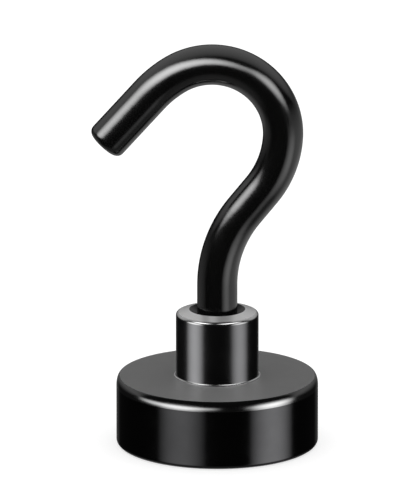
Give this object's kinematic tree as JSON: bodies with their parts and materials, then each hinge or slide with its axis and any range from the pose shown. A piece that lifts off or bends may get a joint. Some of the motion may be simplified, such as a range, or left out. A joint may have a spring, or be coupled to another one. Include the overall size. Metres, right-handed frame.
{
  "type": "magnetic hook",
  "caption": "Small black pot magnet with a threaded boss and a question-mark steel hook screwed into it, which turns about the boss.",
  "frame": {"origin": "centre of the round face that grips steel, level with the pot's rim and the magnet's face", "axes": "+Z along the common axis of the pot, the boss and the screw, away from the gripping face; the hook lies in the XZ plane with its tip towards -X"},
  "size_m": [0.0224, 0.02, 0.0407],
  "materials": {
    "black_nickel": "black nickel plated steel, smooth and glossy",
    "bright_nickel": "bright nickel plate on the magnet's face, lightly scuffed",
    "dark_resin": "dark cast epoxy",
    "black_coating": "smooth black coating on steel, satin gloss"
  },
  "bodies": {
    "base": {"pot_shell": "black_nickel", "threaded_boss": "black_nickel", "magnet_disc": "bright_nickel", "resin_ring": "dark_resin", "glue_film": "dark_resin"},
    "screw_hook": {"hook": "black_coating"}
  },
  "joints": [
    {"name": "hook_turn", "type": "hinge", "parent": "base", "child": "screw_hook", "pos_m": [0, 0, 0.0133], "axis": [0, 0, 1], "range_deg": [-180, 180]}
  ]
}
